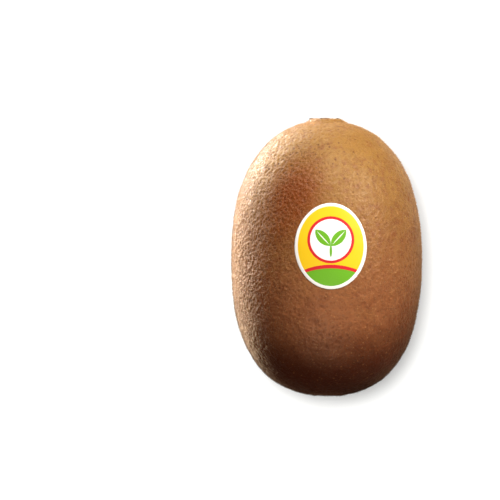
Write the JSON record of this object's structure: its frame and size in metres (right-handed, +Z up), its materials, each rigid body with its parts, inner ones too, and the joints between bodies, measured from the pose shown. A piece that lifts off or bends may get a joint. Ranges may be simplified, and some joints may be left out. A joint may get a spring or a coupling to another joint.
{
  "type": "golden kiwi fruit",
  "caption": "Whole golden kiwi fruit lying on its side: a blunt oval body with a raised stem disc, a dimpled blossom end and an oval sticker on top.",
  "frame": {"origin": "on the surface that the fruit lies on, under the middle of its bounding box", "axes": "+Y along the fruit from the blossom end to the stem end, +X across it, +Z up through the sticker"},
  "size_m": [0.0494, 0.0724, 0.0482],
  "materials": {
    "fruit_skin": "golden brown skin with short soft down",
    "sticker_film": "printed film with a soft gloss"
  },
  "bodies": {
    "root": {"kiwi_fruit": "fruit_skin", "fruit_sticker": "sticker_film"}
  },
  "joints": []
}
